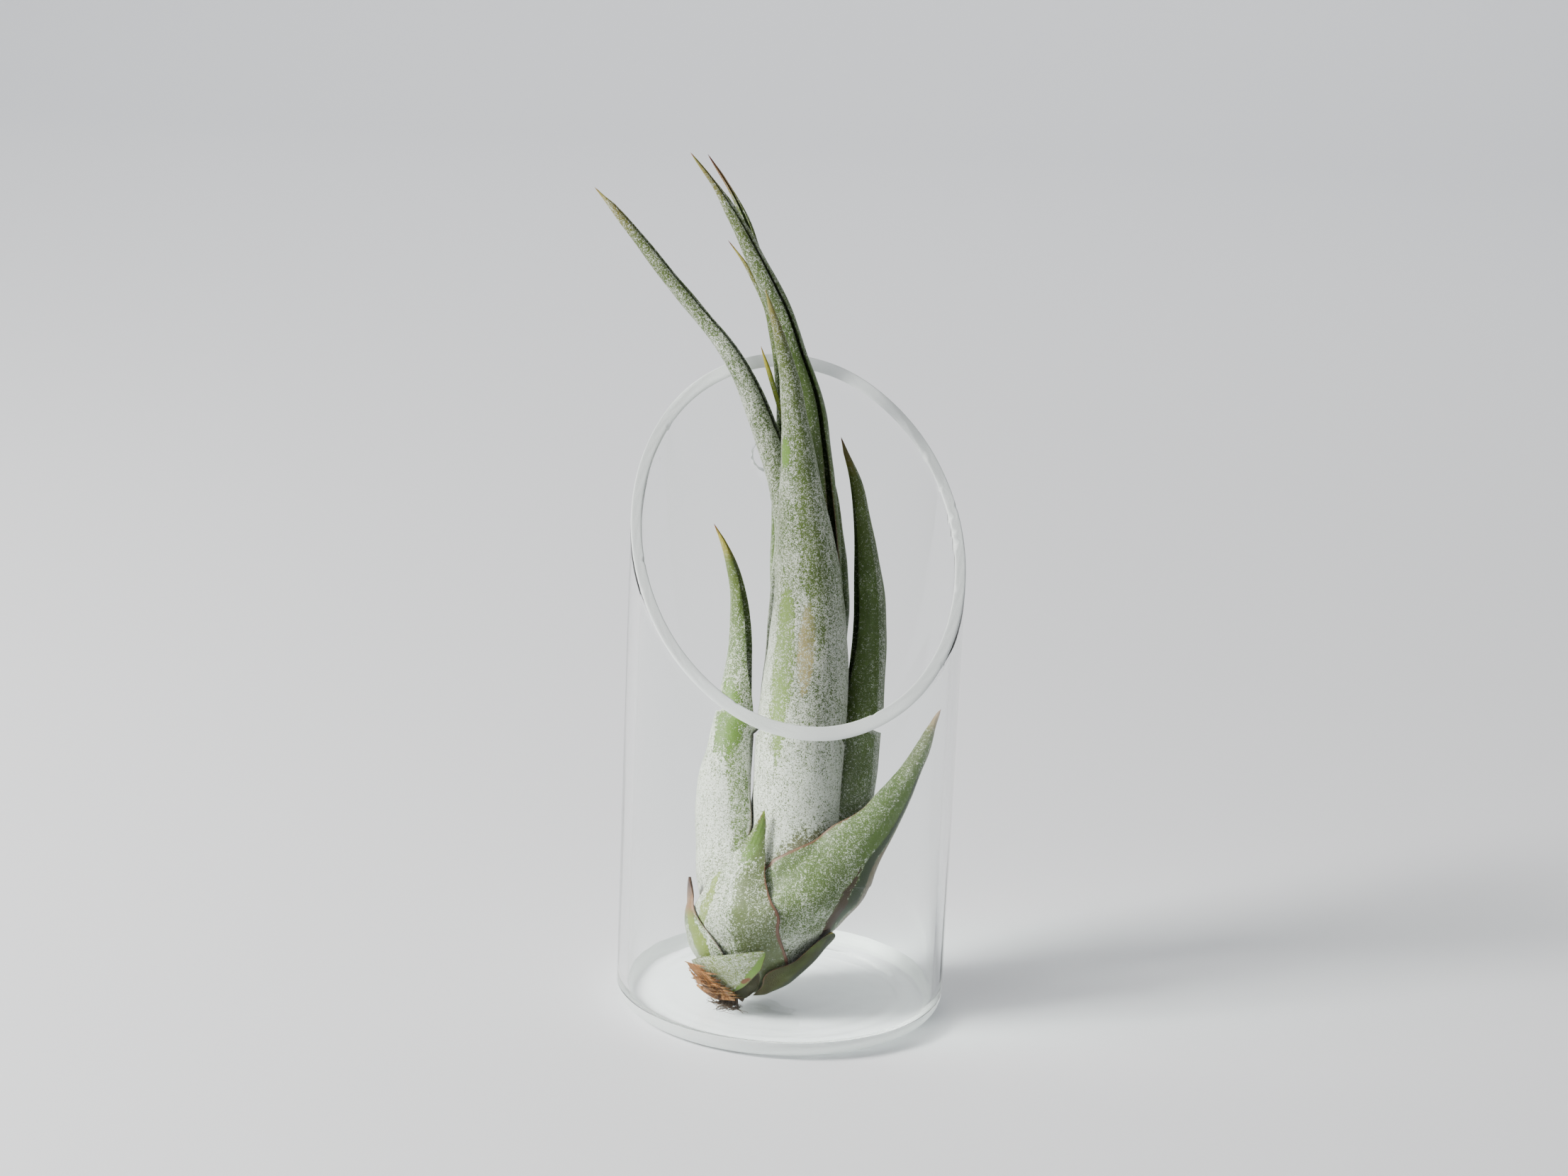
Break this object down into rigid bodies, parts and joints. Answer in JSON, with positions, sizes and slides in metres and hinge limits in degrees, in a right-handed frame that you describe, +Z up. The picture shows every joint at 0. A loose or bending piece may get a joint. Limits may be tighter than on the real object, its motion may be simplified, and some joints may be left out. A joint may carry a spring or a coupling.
{
  "type": "air plant in a slant-cut glass",
  "caption": "Air plant with a bulbous base of rolled silver-green leaves, standing free in a clear glass cylinder whose rim is cut on a slant and whose back wall has a nail hole.",
  "frame": {"origin": "centre of the glass underside, on the surface that it stands on", "axes": "+Z up; -Y is the low side of the slanted rim, the front; +X to the right seen from the front"},
  "size_m": [0.0889, 0.0779, 0.1943],
  "materials": {
    "glass_holder": "clear, polished, with a frosted cut rim",
    "stem_and_roots": "dry, fibrous, matt",
    "dry_scales": "dry and papery, matt",
    "scale_front": "living leaf under a fine silvery scurf, matt",
    "scale_back": "living leaf under a fine silvery scurf, matt",
    "scale_left_dried": "living leaf under a fine silvery scurf, matt",
    "scale_under_right": "living leaf under a fine silvery scurf, matt",
    "scale_under_front": "living leaf under a fine silvery scurf, matt",
    "leaf_small_front": "living leaf under a fine silvery scurf, matt",
    "leaf_lower_right": "living leaf under a fine silvery scurf, matt",
    "leaf_back": "living leaf under a fine silvery scurf, matt",
    "leaf_left": "living leaf under a fine silvery scurf, matt",
    "leaf_front": "living leaf under a fine silvery scurf, matt",
    "leaf_right": "living leaf under a fine silvery scurf, matt",
    "leaf_left_long": "living leaf under a fine silvery scurf, matt",
    "leaf_tall": "living leaf under a fine silvery scurf, matt",
    "leaf_back_right": "living leaf under a fine silvery scurf, matt",
    "leaf_back_tall": "living leaf under a fine silvery scurf, matt",
    "leaf_back_thin": "living leaf under a fine silvery scurf, matt",
    "leaf_centre_small": "living leaf under a fine silvery scurf, matt"
  },
  "bodies": {
    "root": {"glass_holder": "glass_holder", "stem_and_roots": "stem_and_roots", "dry_scales": "dry_scales", "scale_front": "scale_front", "scale_back": "scale_back", "scale_left_dried": "scale_left_dried", "scale_under_right": "scale_under_right", "scale_under_front": "scale_under_front", "leaf_small_front": "leaf_small_front", "leaf_lower_right": "leaf_lower_right", "leaf_back": "leaf_back", "leaf_left": "leaf_left", "leaf_front": "leaf_front", "leaf_right": "leaf_right", "leaf_left_long": "leaf_left_long", "leaf_tall": "leaf_tall", "leaf_back_right": "leaf_back_right", "leaf_back_tall": "leaf_back_tall", "leaf_back_thin": "leaf_back_thin", "leaf_centre_small": "leaf_centre_small"}
  },
  "joints": []
}
